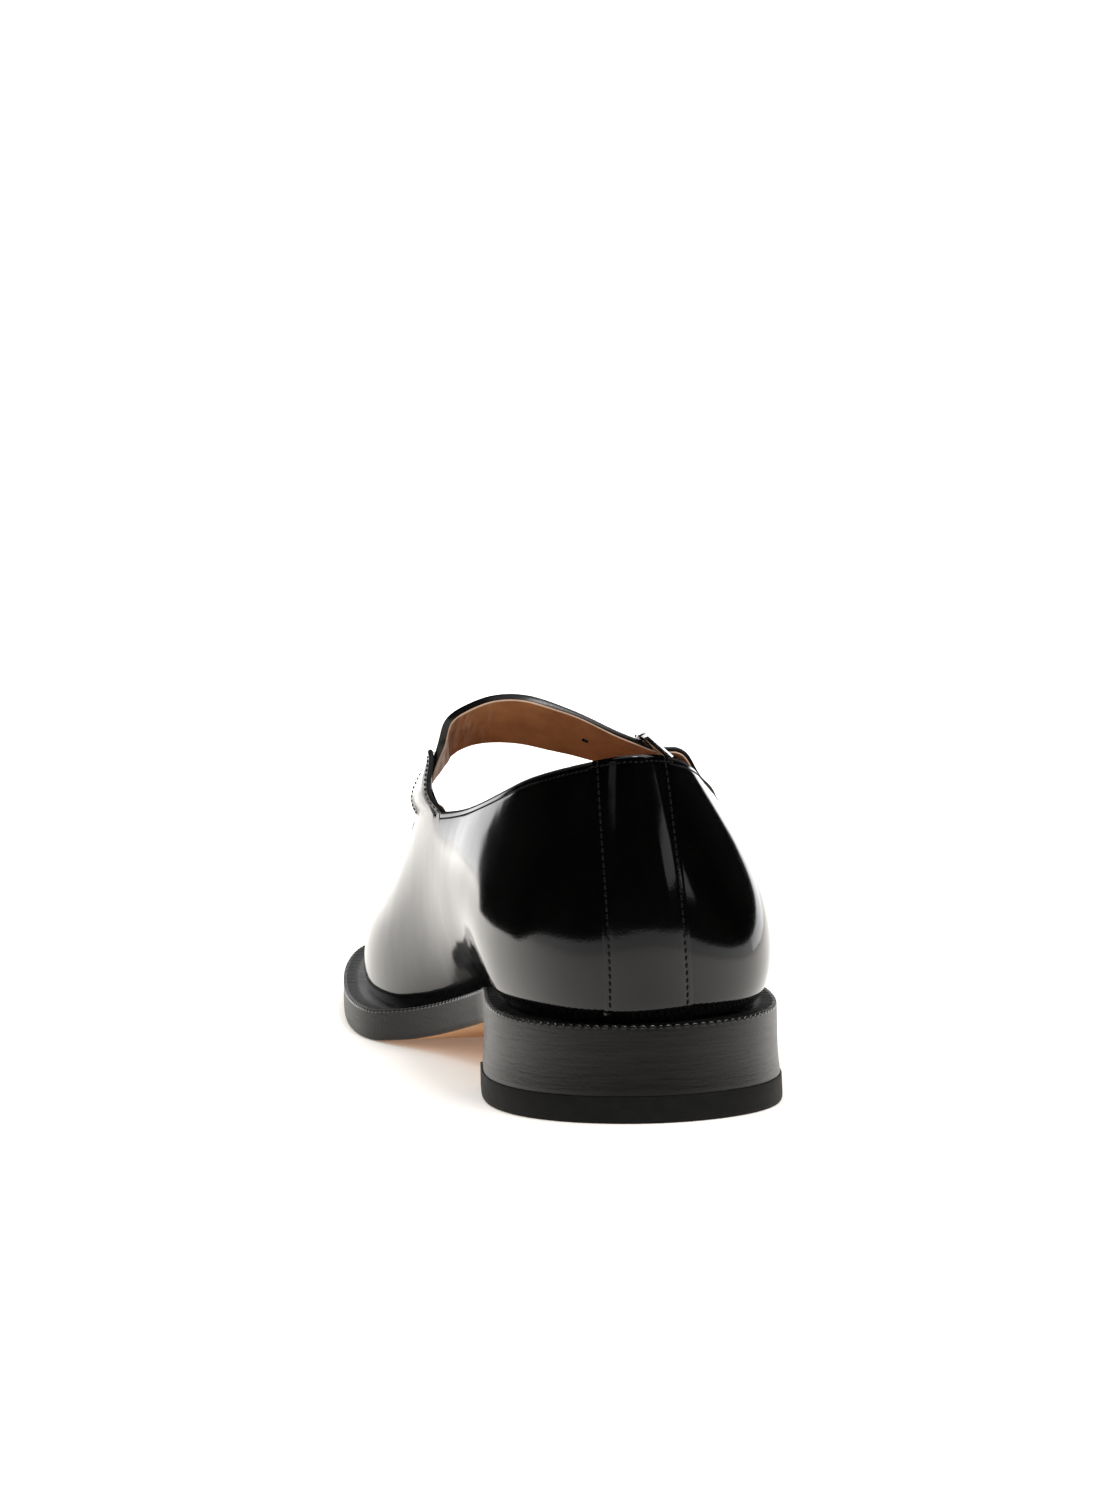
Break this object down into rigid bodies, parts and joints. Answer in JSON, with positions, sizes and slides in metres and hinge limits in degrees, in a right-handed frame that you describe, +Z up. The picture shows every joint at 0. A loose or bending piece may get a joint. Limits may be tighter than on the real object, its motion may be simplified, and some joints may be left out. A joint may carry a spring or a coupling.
{
  "type": "tabi mary jane",
  "caption": "Low-heeled split-toe leather shoe for the right foot, with a buckled instep strap, a welted sole and an open collar.",
  "frame": {"origin": "middle of the shoe's bounding box, on the floor under the sole", "axes": "+X to the outer side of the right foot, +Y from heel to toe, +Z up"},
  "size_m": [0.093, 0.2604, 0.085],
  "materials": {
    "heel_top_piece": "matt",
    "heel_stack": "satin stain",
    "outsole": "natural leather, edge stained black",
    "welt": "satin stain",
    "insole": "natural leather",
    "upper": "polished",
    "backstay": "polished",
    "strap": "polished, tan lining",
    "buckle_tab": "polished",
    "buckle_frame": "polished",
    "buckle_prong": "polished"
  },
  "bodies": {
    "root": {"heel_top_piece": "heel_top_piece", "heel_stack": "heel_stack", "outsole": "outsole", "welt": "welt", "insole": "insole", "upper": "upper", "backstay": "backstay", "strap": "strap", "buckle_tab": "buckle_tab", "buckle_frame": "buckle_frame", "buckle_prong": "buckle_prong"}
  },
  "joints": []
}
